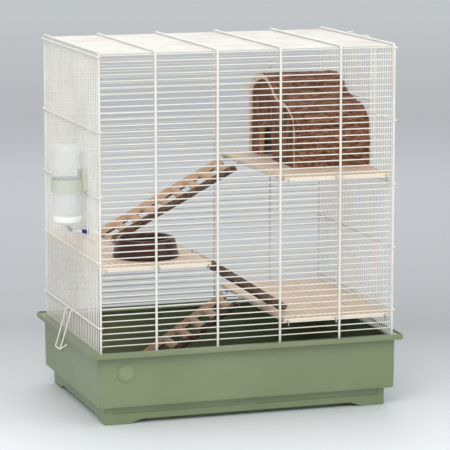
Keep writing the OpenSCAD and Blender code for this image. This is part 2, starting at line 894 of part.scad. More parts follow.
// Band round the bottle, with two fingers that hook over the third cross bar
module bottle_holder() {
  band_r = bottle_r + band_gap;
  front_x = -(side_wire_x + wire_r + rest_gap);
  finger_x = -(cross_x - cross_r - rest_gap);
  finger_w = wire_pitch - wire_d - 2.5;
  color([0.92, 0.88, 0.76])
  translate([0, bottle_y, band_low])
    difference() {
      union() {
        translate([bottle_x, 0, 0]) cylinder(h = band_h, r = band_r + band_wall);
        translate([bottle_x + band_r - 4, -bracket_w / 2, 0])
          cube([front_x - bottle_x - band_r + 4, bracket_w, bracket_h]);
        for (s = [-1, 1])
          translate([0, s * wire_pitch - finger_w / 2, 0]) {
            translate([front_x - 1, 0, 0]) cube([finger_x + 3 - front_x + 1, finger_w, 4]);
            translate([finger_x, 0, -7]) cube([3, finger_w, 8]);
          }
      }
      translate([bottle_x, 0, -1]) cylinder(h = bracket_h + 2, r = band_r);
    }
}

tray();
badge();
bent_bars();
front_wires();
back_wires();
roof_wires();
left_cross_bars();
left_panel_wires();
spout_bar();
right_cross_bars();
right_panel_wires();
door_stiles();
door_sill();
left_clip();
right_clip();
door_frame();
door_wires();
door_hangers();
upper_shelf();
left_shelf();
lower_shelf();
shelf_hooks();
ladder_staples();
upper_rails();
upper_rungs();
upper_ladder_hooks();
middle_rails();
middle_rungs();
middle_ladder_hooks();
lower_rails();
lower_rungs();
lower_ladder_hooks();
bark_cover();
house_front_board();
house_back_board();
bowl();
bottle();
bottle_cap();
drinking_tube();
nozzle();
nozzle_ball();
bottle_holder();
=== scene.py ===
"""Hamster cage: the looks of every piece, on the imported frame. Lengths are in metres, and those multiplied by MM
or divided by it are in millimetres."""
import json
import math

import bpy
import numpy as np
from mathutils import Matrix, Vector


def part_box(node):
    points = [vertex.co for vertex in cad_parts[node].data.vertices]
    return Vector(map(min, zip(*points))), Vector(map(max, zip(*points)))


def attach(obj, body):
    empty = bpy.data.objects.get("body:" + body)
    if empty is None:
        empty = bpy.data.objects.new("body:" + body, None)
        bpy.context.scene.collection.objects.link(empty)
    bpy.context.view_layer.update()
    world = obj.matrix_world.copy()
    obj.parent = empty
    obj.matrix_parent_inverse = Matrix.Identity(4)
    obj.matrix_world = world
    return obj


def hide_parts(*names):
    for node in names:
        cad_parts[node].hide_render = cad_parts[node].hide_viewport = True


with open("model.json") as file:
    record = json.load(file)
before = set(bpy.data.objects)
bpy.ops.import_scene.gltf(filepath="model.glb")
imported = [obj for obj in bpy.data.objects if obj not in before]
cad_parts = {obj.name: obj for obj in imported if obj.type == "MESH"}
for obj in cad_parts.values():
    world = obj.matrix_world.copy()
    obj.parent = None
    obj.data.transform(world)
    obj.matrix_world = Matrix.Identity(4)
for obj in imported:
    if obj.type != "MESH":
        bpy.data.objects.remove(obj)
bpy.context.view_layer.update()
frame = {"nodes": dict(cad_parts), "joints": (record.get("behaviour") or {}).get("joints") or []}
MM = 0.001


def box(node):
    """Lowest and highest corner of a CAD node, as arrays."""
    lo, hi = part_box(node)
    return np.array(lo), np.array(hi)


# ---------------------------------------------------------------- camera, floor and light
YAW = 18.192
PITCH = 9.28
scene = bpy.context.scene
scene.view_settings.view_transform = "Standard"
camera_data = bpy.data.cameras.new("camera")
camera_data.sensor_width = 36
camera_data.lens = 199.6
camera_data.clip_end = 60
camera = bpy.data.objects.new("camera", camera_data)
camera.location = (-1.199, -3.694, 0.9059)
camera.rotation_euler = (math.radians(90 - PITCH), 0, math.radians(-YAW))
scene.collection.objects.link(camera)
scene.camera = camera


def soft_light(name, place, target, size, watts, tint):
    """A square soft box at place, facing target."""
    data = bpy.data.lights.new(name, "AREA")
    data.size = size
    data.energy = watts
    data.color = tint
    light = bpy.data.objects.new(name, data)
    light.location = place
    away = np.array(place) - np.array(target)
    flat = math.hypot(away[0], away[1])
    light.rotation_euler = (math.atan2(flat, away[2]), 0, math.atan2(away[1], away[0]) + math.pi / 2)
    light.visible_camera = False
    scene.collection.objects.link(light)


soft_light("key_light", (-1.3, -1.9, 2.3), (0, 0, 0.25), 1.6, 36, (1, 0.985, 0.96))
soft_light("fill_light", (2.1, -2.2, 1.3), (0, 0, 0.3), 2.2, 17, (0.95, 0.975, 1))
soft_light("back_light", (0.6, 2.2, 1.9), (0, 0, 0.3), 1.8, 15, (1, 1, 1))
world = bpy.data.worlds.new("studio")
world.use_nodes = True
world.node_tree.nodes["Background"].inputs[0].default_value = (0.95, 0.965, 0.98, 1)
world.node_tree.nodes["Background"].inputs[1].default_value = 0.8
scene.world = world


# ---------------------------------------------------------------- shader maths
def rgb(r, g, b):
    """A colour from its 0 to 255 screen values, made linear."""
    c = np.array([r, g, b]) / 255
    lin = np.where(c <= 0.04045, c / 12.92, ((c + 0.055) / 1.055) ** 2.4)
    return tuple(float(x) for x in lin) + (1.0,)


class Val:
    """A socket that carries one number, with arithmetic that adds Math nodes."""

    def __init__(self, finish, socket):
        self.finish = finish
        self.socket = socket

    def math(self, operation, a, b):
        return self.finish.node("ShaderNodeMath", {"operation": operation}, {0: a, 1: b})

    def __add__(self, other):
        return self.math("ADD", self, other)

    def __sub__(self, other):
        return self.math("SUBTRACT", self, other)

    def __rsub__(self, other):
        return self.math("SUBTRACT", other, self)

    def __mul__(self, other):
        return self.math("MULTIPLY", self, other)

    def __abs__(self):
        return self.math("ABSOLUTE", self, 0.0)

    def between(self, lo, hi):
        """0 below lo, 1 above hi and smooth in between."""
        return self.finish.node("ShaderNodeMapRange", {"interpolation_type": "SMOOTHSTEP"},
                                {0: self, 1: lo, 2: hi, 3: 0.0, 4: 1.0})


class Finish:
    """One procedural material, built node by node."""

    def __init__(self, name):
        self.material = bpy.data.materials.new(name)
        self.material.use_nodes = True
        self.tree = self.material.node_tree
        self.tree.nodes.clear()

    def node(self, kind, settings, sockets, out=0):
        """Adds a node, gives it its settings, then the values or links of its sockets."""
        n = self.tree.nodes.new(kind)
        for key, value in settings.items():
            if key == "stops":
                ramp = n.color_ramp.elements
                while len(ramp) < len(value):
                    ramp.new(0.5)
                for element, (place, colour) in zip(ramp, value):
                    element.position = place
                    element.color = colour
            else:
                setattr(n, key, value)
        for key, value in sockets.items():
            if isinstance(value, Val):
                self.tree.links.new(value.socket, n.inputs[key])
            else:
                n.inputs[key].default_value = value
        return Val(self, n.outputs[out]) if len(n.outputs) else None

    def place(self, scale=(1, 1, 1), turn=(0, 0, 0)):
        """Object coordinates, turned and then scaled."""
        p = self.node("ShaderNodeTexCoord", {}, {}, "Object")
        return self.node("ShaderNodeMapping", {}, {"Vector": p, "Rotation": turn, "Scale": scale})

    def axis(self, name):
        """One object coordinate, in metres."""
        p = self.node("ShaderNodeTexCoord", {}, {}, "Object")
        return self.node("ShaderNodeSeparateXYZ", {}, {0: p}, name)

    def uv(self, scale=(1, 1, 1)):
        """The piece's own UV map, scaled."""
        p = self.node("ShaderNodeTexCoord", {}, {}, "UV")
        return self.node("ShaderNodeMapping", {}, {"Vector": p, "Scale": scale})

    def data(self, name):
        """A number stored at each point of the piece."""
        return self.node("ShaderNodeAttribute", {"attribute_name": name}, {}, "Fac")

    def noise(self, place, scale, detail=4.0, roughness=0.55, distortion=0.0):
        """Cloudy noise, mostly between 0.3 and 0.7."""
        return self.node("ShaderNodeTexNoise", {}, {"Vector": place, "Scale": scale, "Detail": detail,
                                                    "Roughness": roughness, "Distortion": distortion})

    def waves(self, place, scale, distortion, detail=2.0):
        """Wavy bands across X."""
        return self.node("ShaderNodeTexWave", {"bands_direction": "X"},
                         {"Vector": place, "Scale": scale, "Distortion": distortion, "Detail": detail,
                          "Detail Scale": 1.2}, "Fac")

    def mix(self, share, a, b):
        """Colour a where share is 0, b where it is 1."""
        return self.node("ShaderNodeMix", {"data_type": "RGBA"}, {0: share, 6: a, 7: b}, 2)

    def ramp(self, value, stops):
        """A colour for each value, from (value, colour) stops."""
        return self.node("ShaderNodeValToRGB", {"stops": stops}, {0: value})

    def bump(self, height, distance):
        """A normal from a height, where 1 stands distance metres high."""
        return self.node("ShaderNodeBump", {}, {"Height": height, "Distance": distance})

    def close(self, colour, roughness, normal=None, fixed=None):
        """The Principled shader and the output. Values in fixed are the same all over."""
        sockets = {"Base Color": colour, "Roughness": roughness, **(fixed or {})}
        if normal is not None:
            sockets["Normal"] = normal
        shader = self.node("ShaderNodeBsdfPrincipled", {}, sockets)
        self.node("ShaderNodeOutputMaterial", {}, {0: shader})
        return self.material


def coated_wire():
    """Ivory powder coat: a fine orange peel, slightly warmer patches and a soft gloss."""
    f = Finish("coated_wire")
    patch = f.noise(f.place(), 14.0, 3.0)
    colour = f.mix(patch.between(0.42, 0.68), rgb(231, 229, 222), rgb(222, 219, 210))
    peel = f.noise(f.place(), 900.0, 2.0)
    return f.close(colour, patch * 0.16 + 0.24, f.bump(peel, 0.00008), {"Coat Weight": 0.25})


def bright_wire(name, tone, base_roughness):
    """Plated wire: drawn streaks and a faint haze."""
    f = Finish(name)
    haze = f.noise(f.place(), 60.0, 5.0)
    colour = f.mix(haze.between(0.35, 0.7), rgb(*tone), rgb(*[int(t * 0.82) for t in tone]))
    streaks = f.noise(f.place((900, 900, 120)), 1.0, 2.0)
    return f.close(colour, haze * 0.22 + base_roughness, f.bump(streaks, 0.00004), {"Metallic": 1.0})


def moulded(name, main, second, roughness, grain_mm=0.06, scale=700.0, fixed=None):
    """Moulded plastic: slow colour drift, a fine pebbled skin and rubbed patches."""
    f = Finish(name)
    drift = f.noise(f.place(), 6.0, 3.0)
    colour = f.mix(drift.between(0.36, 0.66), rgb(*main), rgb(*second))
    rub = f.noise(f.place(), 45.0, 6.0, 0.65).between(0.56, 0.72)
    pebble = f.noise(f.place(), scale, 2.0)
    return f.close(colour, rub * 0.12 + roughness, f.bump(pebble, grain_mm * MM), fixed)


def tube_end(x0, x1):
    """Milky tube with a blue collar between two places along X, and a faint moulded skin."""
    f = Finish("nozzle_plastic")
    x = f.axis("X")
    collar = x.between(x0, x0 + 0.0005) * (1 - x.between(x1 - 0.0005, x1))
    drift = f.noise(f.place(), 90.0, 3.0)
    milky = f.mix(drift.between(0.4, 0.6), rgb(232, 233, 230), rgb(218, 220, 216))
    blue = f.mix(drift.between(0.4, 0.6), rgb(34, 44, 132), rgb(26, 34, 112))
    skin = f.noise(f.place(), 900.0, 2.0)
    return f.close(f.mix(collar, milky, blue), drift * 0.1 + 0.22, f.bump(skin, 0.00003))


def plank(depth):
    """Pale sanded board: long grain along the depth, fine pores, a few darker lines and pale end grain."""
    f = Finish("shelf_wood")
    grain = f.waves(f.place((1, 0.05, 1)), 34.0, 5.0, 3.0)
    fibre = f.noise(f.place((700, 18, 700)), 1.0, 5.0, 0.6)
    tone = grain * 0.55 + fibre * 0.45
    face = f.ramp(tone, [(0.15, rgb(228, 211, 192)), (0.5, rgb(217, 197, 175)), (0.85, rgb(204, 180, 156))])
    streak = f.noise(f.place((60, 3, 60)), 1.0, 3.0).between(0.58, 0.72)
    face = f.mix(streak * 0.3, face, rgb(180, 148, 120))
    end = abs(f.axis("Y")).between(depth / 2 - 0.0016, depth / 2 - 0.0008)
    pores = f.noise(f.place(), 1400.0, 3.0)
    cut = f.mix(pores.between(0.35, 0.65), rgb(242, 231, 212), rgb(230, 214, 192))
    return f.close(f.mix(end, face, cut), fibre * 0.2 + 0.5, f.bump(fibre + pores * 0.4, 0.00018))


def log_wood():
    """Split branch: rough bark where "bark" is 1, and fibrous pale wood with growth rings where it is 0."""
    f = Finish("split_branch")
    bark_share = f.data("bark")
    flakes = f.noise(f.uv((60, 22, 1)), 6.0, 8.0, 0.62, 0.6)
    bark = f.ramp(flakes, [(0.3, rgb(50, 36, 28)), (0.48, rgb(88, 66, 52)), (0.62, rgb(128, 102, 84)),
                           (0.74, rgb(172, 146, 124))])
    fibre = f.noise(f.uv((150, 6, 1)), 6.0, 6.0, 0.6)
    wood = f.ramp(fibre, [(0.3, rgb(168, 132, 108)), (0.52, rgb(200, 166, 138)), (0.72, rgb(224, 198, 172))])
    edge = f.noise(f.uv((30, 14, 1)), 8.0, 4.0)
    share = (bark_share + (edge - 0.5) * 0.7).between(0.4, 0.6)
    height = flakes * share * 2.2 + fibre * 0.5
    return f.close(f.mix(share, wood, bark), flakes * 0.2 + 0.68, f.bump(height, 0.0007))


def peeled_stick():
    """Peeled stick: long fibres, small dark knots and pale ends."""
    f = Finish("peeled_stick")
    fibre = f.noise(f.uv((120, 5, 1)), 6.0, 6.0, 0.6)
    knots = f.noise(f.uv((14, 10, 1)), 6.0, 2.0).between(0.64, 0.74)
    wood = f.ramp(fibre, [(0.3, rgb(158, 120, 94)), (0.5, rgb(192, 156, 126)), (0.72, rgb(218, 190, 160))])
    return f.close(f.mix(knots * 0.6, wood, rgb(120, 82, 54)), fibre * 0.2 + 0.58, f.bump(fibre, 0.0003))


def tree_bark():
    """House bark: reddish brown plates streaked along the trunk, with pale fibrous wood where "cut" is 1."""
    f = Finish("tree_bark")
    plates = f.noise(f.place((70, 210, 210)), 1.0, 9.0, 0.74, 0.8)
    tint = f.noise(f.place((18, 30, 30)), 1.0, 3.0).between(0.35, 0.65)
    fissure = f.noise(f.place((70, 190, 190)), 1.0, 6.0, 0.66, 0.6).between(0.56, 0.64)
    brown = f.ramp(plates, [(0.36, rgb(54, 32, 19)), (0.46, rgb(100, 62, 37)), (0.55, rgb(142, 97, 62)),
                            (0.68, rgb(188, 145, 106))])
    red = f.ramp(plates, [(0.36, rgb(56, 31, 22)), (0.49, rgb(122, 70, 46)), (0.65, rgb(186, 131, 98))])
    bark = f.mix(tint, brown, red)
    bark = f.mix(fissure * 0.55, bark, rgb(44, 27, 20))
    fibre = f.noise(f.place((60, 400, 400)), 1.0, 6.0, 0.6)
    wood = f.ramp(fibre, [(0.3, rgb(222, 188, 160)), (0.52, rgb(240, 212, 188)), (0.74, rgb(250, 230, 212))])
    ragged = f.noise(f.place(), 120.0, 4.0)
    share = (f.data("cut") + (ragged - 0.5) * 0.5).between(0.42, 0.58)
    height = plates * 1.6 - fissure * 0.9 + fibre * share * 0.4
    return f.close(f.mix(share, bark, wood), plates * 0.2 + 0.66, f.bump(height, 0.002))


def house_board(door_y, door_z, door_r, mid_x):
    """End board of bark-faced wood, with a pale sawn jamb round the arched doorway."""
    f = Finish("house_board")
    grain = f.noise(f.place((60, 160, 36), (0.05, 0.0, 0.0)), 1.0, 8.0, 0.62, 0.4)
    board = f.ramp(grain, [(0.36, rgb(44, 22, 12)), (0.48, rgb(92, 51, 29)), (0.58, rgb(130, 78, 48)),
                           (0.7, rgb(170, 116, 78))])
    y = f.axis("Y") - door_y
    z = f.axis("Z") - door_z
    up = z.between(0.0, 0.0001)
    reach = f.node("ShaderNodeMath", {"operation": "SQRT"}, {0: y * y + z * z * up})
    front = 1 - f.axis("X").between(mid_x, mid_x + 0.0001)
    jamb = front * (1 - reach.between(door_r + 0.0002, door_r + 0.0009))
    fibre = f.noise(f.place((500, 60, 60)), 1.0, 5.0)
    wood = f.ramp(fibre, [(0.3, rgb(150, 108, 74)), (0.7, rgb(206, 164, 118))])
    return f.close(f.mix(jamb, board, wood), grain * 0.2 + 0.66, f.bump(grain + fibre * 0.2, 0.0009))


def stoneware(rim_z):
    """Dark brown glaze: pooled tone, small specks, and a thinner, redder glaze along the rim."""
    f = Finish("stoneware_glaze")
    pool = f.noise(f.place((1, 1, 3)), 22.0, 5.0, 0.6, 0.6)
    body = f.ramp(pool, [(0.3, rgb(38, 16, 12)), (0.55, rgb(58, 28, 21)), (0.75, rgb(84, 44, 33))])
    specks = f.noise(f.place(), 520.0, 2.0).between(0.66, 0.72)
    body = f.mix(specks * 0.5, body, rgb(28, 18, 15))
    rim = (f.axis("Z") + (pool - 0.5) * 0.006).between(rim_z - 0.004, rim_z - 0.0012)
    ripple = f.noise(f.place(), 70.0, 3.0)
    return f.close(f.mix(rim * 0.3, body, rgb(96, 60, 46)), pool * 0.16 + 0.16, f.bump(ripple, 0.0004),
                   {"Coat Weight": 0.1, "Coat Roughness": 0.15, "Specular IOR Level": 0.3})


def clear_plastic():
    """Clear plastic: faint flow lines round the wall and light scuffs."""
    f = Finish("clear_plastic")
    flow = f.noise(f.place((4, 4, 90)), 1.0, 4.0)
    scuff = f.noise(f.place(), 160.0, 6.0, 0.7).between(0.58, 0.75)
    colour = f.mix(flow.between(0.4, 0.6), rgb(240, 243, 243), rgb(228, 233, 234))
    return f.close(colour, scuff * 0.18 + 0.08, f.bump(flow, 0.0003),
                   {"Alpha": scuff * 0.1 + 0.15, "Coat Weight": 0.6})


def painted_light_floor():
    """Pale floor with painted light: a painted pool of light close by, painted shade behind the cage and lighter
    again far off, with a faint mottle.
    """
    f = Finish("painted_light_floor")
    yaw = math.radians(YAW)
    near, deep = 0.6, 8.6
    depth = f.axis("X") * math.sin(yaw) + f.axis("Y") * math.cos(yaw)
    mottle = f.noise(f.place(), 1.5, 2.0)
    share = (depth + near + (mottle - 0.5) * 0.1) * (1 / deep)
    # The ramp paints light onto the floor: a painted pool of light close by, painted shade behind the cage, and
    # lighter again far off.
    colour = f.ramp(share, [(0.03, rgb(232, 235, 238)), (0.13, rgb(172, 175, 178)),
                            (0.38, rgb(190, 193, 196)), (0.95, rgb(214, 217, 219))])
    return f.close(colour, mottle * 0.1 + 0.6)


# ---------------------------------------------------------------- surfaces
class Surface:
    """Collects grids of points and makes one closed mesh of them."""

    def __init__(self):
        self.points, self.corners, self.sizes, self.uvs, self.marks = [], [], [], [], {}
        self.count = 0

    def skin(self, rings, loop=False, uv=None, marks=None):
        """Quads between closed rings. rings is (rings, points on a ring, 3).
        The two ends are closed by fans to their middles, or joined to each other where loop is true.
        The volume that the faces enclose is added up with its sign, and they turn over if it is negative."""
        n, m = rings.shape[:2]
        points = rings.reshape(-1, 3)
        i, j = np.meshgrid(np.arange(n if loop else n - 1), np.arange(m), indexing="ij")
        i2, j2 = (i + 1) % n, (j + 1) % m
        quads = np.stack([i * m + j, i * m + j2, i2 * m + j2, i2 * m + j], -1).reshape(-1, 4)
        if uv is None:
            uv = np.stack(np.meshgrid(np.linspace(0, 1, n + 1), np.linspace(0, 1, m + 1), indexing="ij"), -1)
        quad_uv = np.stack([uv[i, j], uv[i, j + 1], uv[i + 1, j + 1], uv[i + 1, j]], -2).reshape(-1, 2)
        tris, tri_uv = np.zeros((0, 3), int), np.zeros((0, 2))
        if not loop:
            points = np.vstack([points, rings[0].mean(0), rings[-1].mean(0)])
            k = np.arange(m)
            k2 = (k + 1) % m
            first = np.stack([np.full(m, n * m), k2, k], -1)
            last = np.stack([np.full(m, n * m + 1), (n - 1) * m + k, (n - 1) * m + k2], -1)
            tris = np.vstack([first, last])
            turn = 2 * np.pi * k / m
            disc = np.stack([np.cos(turn), np.sin(turn)], -1) * 0.01
            disc2 = np.roll(disc, -1, axis=0)
            tri_uv = np.vstack([np.stack([disc * 0, disc2, disc], 1).reshape(-1, 2),
                                np.stack([disc * 0, disc, disc2], 1).reshape(-1, 2)])
        ahead = np.vstack([quads[:, :3], quads[:, [0, 2, 3]], tris])
        a, b, c = (points[ahead[:, k]] for k in range(3))
        if np.einsum("ij,ij->i", a - points[0], np.cross(b - points[0], c - points[0])).sum() < 0:
            quads, tris = quads[:, ::-1], tris[:, ::-1]
            quad_uv = quad_uv.reshape(-1, 4, 2)[:, ::-1].reshape(-1, 2)
            tri_uv = tri_uv.reshape(-1, 3, 2)[:, ::-1].reshape(-1, 2)
        for key, value in (marks or {}).items():
            value = np.broadcast_to(value, (n, m)).astype(float)
            if not loop:
                value = np.append(value, [value[0].min(), value[-1].min()])
            value = value.ravel()
            self.marks.setdefault(key, []).append(value)
        self.corners += [(quads + self.count).ravel(), (tris + self.count).ravel()]
        self.sizes += [np.full(len(quads), 4), np.full(len(tris), 3)]
        self.uvs += [quad_uv, tri_uv]
        self.points.append(points)
        self.count += len(points)

    def build(self, name, body, material, stands_for, sharp=38):
        """The mesh object, riding on its body in place of its CAD nodes."""
        points, corners = np.vstack(self.points), np.concatenate(self.corners)
        sizes, uvs = np.concatenate(self.sizes), np.vstack(self.uvs)
        mesh = bpy.data.meshes.new(name)
        mesh.vertices.add(len(points))
        mesh.vertices.foreach_set("co", points.astype(np.float32).ravel())
        mesh.loops.add(len(corners))
        mesh.loops.foreach_set("vertex_index", corners.astype(np.int32))
        mesh.polygons.add(len(sizes))
        mesh.polygons.foreach_set("loop_start", (np.cumsum(sizes) - sizes).astype(np.int32))
        mesh.update(calc_edges=True)
        mesh.uv_layers.new(name="UVMap").data.foreach_set("uv", uvs.astype(np.float32).ravel())
        for key, values in self.marks.items():
            layer = mesh.attributes.new(key, "FLOAT", "POINT")
            layer.data.foreach_set("value", np.concatenate(values).astype(np.float32))
        mesh.polygons.foreach_set("use_smooth", np.ones(len(sizes), bool))
        mesh.set_sharp_from_angle(angle=math.radians(sharp))
        mesh.validate()
        mesh.materials.append(material)
        piece = bpy.data.objects.new(name, mesh)
        scene.collection.objects.link(piece)
        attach(piece, body)
        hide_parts(*stands_for)
        return piece


def ripple(seed, count, *coords):
    """A sum of count sine waves of the coordinates, with seeded directions and phases, from about -1 to 1."""
    rng = np.random.default_rng(seed)
    total = 0
    for k in range(count):
        turn = sum(c * rng.normal() for c in coords)
        total = total + np.sin(turn + rng.uniform(0, 2 * np.pi))
    return total / math.sqrt(count) / 1.5


def rounded_ring(half_x, half_y, r, xs, ys, steps=6):
    """A rounded rectangle, anticlockwise from above: its sides hold the given places, its corners are arcs of
    radius r."""
    xs = np.clip(np.concatenate([[-half_x], xs, [half_x]]), r - half_x, half_x - r)
    ys = np.clip(np.concatenate([[-half_y], ys, [half_y]]), r - half_y, half_y - r)
    a = np.linspace(0, np.pi / 2, steps + 2)[1:-1]
    arc = r * np.stack([np.cos(a), np.sin(a)], -1)
    cx, cy = half_x - r, half_y - r
    turn = np.array([[0, -1], [1, 0]])
    parts = [
        np.stack([xs, np.full(len(xs), -half_y)], -1), [cx, -cy] + arc @ turn,
        np.stack([np.full(len(ys), half_x), ys], -1), [cx, cy] + arc,
        np.stack([-xs, np.full(len(xs), half_y)], -1), [-cx, cy] + arc @ turn.T,
        np.stack([np.full(len(ys), -half_x), -ys], -1), [-cx, -cy] + arc @ -np.eye(2),
    ]
    return np.vstack(parts)


def lathe(surface, profile, centre, axis="Z", around=64, ribs=0, rib_depth=0.0, closed=False):
    """A profile of (radius, height) pairs turned round a vertical axis, or round Y towards the front.
    The radius may be fluted: r times 1 - depth (1 + cos(ribs t)) / 2."""
    profile = np.array(profile, float)
    t = np.linspace(0, 2 * np.pi, around, endpoint=False)
    flute = 1 - rib_depth * (1 + np.cos(ribs * t)) / 2 if ribs else np.ones(around)
    r = profile[:, :1] * flute
    h = np.repeat(profile[:, 1:], around, 1)
    if axis == "Z":
        rings = np.stack([r * np.cos(t), r * np.sin(t), h], -1)
    else:
        rings = np.stack([r * np.cos(t), -h, r * np.sin(t)], -1)
    surface.skin(rings + np.array(centre), loop=closed)


def arc_points(centre, r, a0, a1, n):
    """(radius, height) points on an arc, angles in degrees."""
    a = np.radians(np.linspace(a0, a1, n))
    return [(centre[0] + r * math.cos(x), centre[1] + r * math.sin(x)) for x in a]


def wire_tube(surface, path, r, around=10):
    """A round wire along a path: rings square to the path, carried along it without twisting."""
    path = np.array(path, float)
    ahead = np.gradient(path, axis=0)
    ahead /= np.linalg.norm(ahead, axis=1, keepdims=True)
    side = np.zeros_like(path)
    start = np.cross(ahead[0], [0.3, 0.5, 0.81])
    side[0] = start / np.linalg.norm(start)
    for k in range(1, len(path)):
        s = side[k - 1] - ahead[k] * (side[k - 1] @ ahead[k])
        side[k] = s / np.linalg.norm(s)
    up = np.cross(ahead, side)
    t = np.linspace(0, 2 * np.pi, around, endpoint=False)
    turn = np.cos(t)[None, :, None] * side[:, None] + np.sin(t)[None, :, None] * up[:, None]
    rings = path[:, None] + r * turn
    surface.skin(rings)


# ---------------------------------------------------------------- finishes
ivory = coated_wire()
zinc = bright_wire("zinc_wire", (214, 215, 217), 0.3)
steel = bright_wire("tube_steel", (205, 207, 210), 0.1)
tray_finish = moulded("tray_plastic", (128, 138, 105), (121, 131, 98), 0.36)
badge_finish = moulded("badge_plastic", (134, 144, 112), (128, 138, 106), 0.3, 0.03)
cap_finish = moulded("cap_plastic", (244, 244, 240), (234, 235, 231), 0.3, 0.03)
holder_finish = moulded("holder_plastic", (220, 222, 210), (210, 213, 198), 0.3, 0.04, fixed={"Alpha": 0.8})
nozzle_finish = tube_end(x0=-0.2435, x1=-0.2305)
bottle_finish = clear_plastic()
log_finish = log_wood()
stick_finish = peeled_stick()
bark_finish = tree_bark()


def dress(material, *nodes):
    """Gives CAD nodes their finish."""
    for name in nodes:
        data = frame["nodes"][name].data
        data.materials.clear()
        data.materials.append(material)


dress(ivory, "bent_bars", "front_wires", "back_wires", "roof_wires", "left_cross_bars", "left_panel_wires",
      "spout_bar", "right_cross_bars", "right_panel_wires", "door_stiles", "door_sill", "door_frame",
      "door_wires", "door_hangers")
dress(zinc, "shelf_hooks", "ladder_staples", "upper_ladder_hooks", "middle_ladder_hooks",
      "lower_ladder_hooks")
dress(steel, "drinking_tube", "nozzle_ball")
dress(nozzle_finish, "nozzle")
dress(holder_finish, "bottle_holder")

# ---------------------------------------------------------------- floor
floor_mesh = bpy.data.meshes.new("floor")
REACH = 30
corners = [(-REACH, -REACH, 0), (REACH, -REACH, 0), (REACH, REACH, 0), (-REACH, REACH, 0)]
floor_mesh.from_pydata(corners, [], [(0, 1, 2, 3)])
floor_mesh.materials.append(painted_light_floor())
floor = bpy.data.objects.new("floor", floor_mesh)
scene.collection.objects.link(floor)


# ---------------------------------------------------------------- tray
def soft_box(x, half, ramp):
    """1 where |x| is under half and 0 past half + ramp, straight in between."""
    return np.clip((half + ramp - np.abs(x)) / ramp, 0, 1)


def make_tray():
    """Rounded rectangles stacked along the tray's section, from the middle of its underside, up the outside,
    over the rim and down the inside. Each row has its overhang past the bars, its height, its corner radius, and
    how much of the finger recess, of the front panels and of the end pads it carries (0 where it isn't said)."""
    _, hi = box("tray")
    overhang = 15.5
    bar_x, bar_y = hi[0] / MM - overhang, hi[1] / MM - overhang
    recess_h, recess_x, recess_y, recess_ramp = 6.5, 168.5, 97.5, 20
    panel_end, panel_gap = 214, 14.75
    pad_y, pad_half, pad_out = 97.5, 49.5, 2.4
    edge = 1
    rows = [
        (-27.5, 0, 5), (-27.5, 0, 5, 1), (-8.3, 0, 5, 1), (-7.6, 0.4, 5, 1), (-7.4, 1.4, 5, 1),
        (-7.3, 9.5, 5, 0.12), (-7.2, 16.6, 5), (-7.3, 17.3, 5, 0, 1), (-7.2, 26.3, 5, 0, 1), (-7.1, 27, 5),
        (-7, 28.2, 5), (-6.4, 28.6, 5), (2.6, 28.6, 5.6), (3.6, 29, 6), (4, 30, 6), (4.1, 33, 6),
        (4.5, 55, 6), (4.6, 74, 6), (4.6, 74.6, 6, 0, 0, 0.7), (4.6, 75.6, 6, 0, 0, 1),
        (4.7, 90, 6, 0, 0, 1), (4.8, 105, 6, 0, 0, 1), (4.9, 109.6, 6, 0, 0, 1), (12.2, 109.6, 6.5),
        (12.6, 109, 6.5), (12.8, 107, 6.5), (13.4, 106.5, 6.8), (14.8, 106.5, 7), (15.4, 107, 7),
        (15.5, 108.4, 7), (15.4, 112, 7), (15, 113.6, 7), (14.2, 114.4, 7), (13.6, 114.4, 6.8),
        (13.1, 113.8, 6.5), (12.9, 112.4, 6.5), (12.4, 112, 6.5), (-4, 112, 4.5), (-4.8, 111.8, 4),
        (-5, 111, 4), (-5, 109.5, 4), (1.8, 109.3, 3.5), (2.3, 108, 3.5), (1.6, 33, 3.5), (0.6, 31.2, 3.5),
        (-9, 31, 4), (-10, 30, 2.5), (-10.2, 5, 2.5, 1), (-12.5, 2.6, 2.5, 1), (-30, 2.5, 2.5, 1),
        (-33, 2.5, 2.5),
    ]
    marks_x = [panel_gap - edge, panel_gap, panel_gap + edge, 100, recess_x, recess_x + recess_ramp,
               panel_end, panel_end + edge]
    marks_y = [pad_y - pad_half - edge, pad_y - pad_half, recess_y, recess_y + recess_ramp,
               pad_y + pad_half, pad_y + pad_half + edge]
    xs = np.unique(np.concatenate([np.linspace(-190, 190, 20), marks_x, -np.array(marks_x)]))
    ys = np.unique(np.concatenate([np.linspace(-110, 110, 12), marks_y, -np.array(marks_y)]))
    rings = []
    for row in rows:
        over, z, r, recess, panel, pad = (*row, 0, 0, 0)[:6]
        hx, hy = bar_x + over, bar_y + over
        ring = rounded_ring(hx, hy, r, xs, ys)
        x, y = ring[:, 0], ring[:, 1]
        front = np.isclose(y, -hy)
        end = np.isclose(np.abs(x), hx)
        long_side = np.isclose(np.abs(y), hy)
        along = soft_box(x, recess_x, recess_ramp) * long_side
        across = soft_box(y, recess_y, recess_ramp) * end
        height = recess_h * (along + across)
        pressed = soft_box(x, panel_end, edge) * (1 - soft_box(x, panel_gap, edge)) * front
        raised = soft_box(-np.sign(x) * y - pad_y, pad_half, edge) * end
        ring[:, 1] += panel * pressed
        ring[:, 0] += np.sign(x) * pad * pad_out * raised
        rings.append(np.column_stack([ring, z + recess * height]))
    tray = Surface()
    tray.skin(np.array(rings) * MM)
    tray.build("tray_shell", "tray", tray_finish, ["tray"], sharp=30)


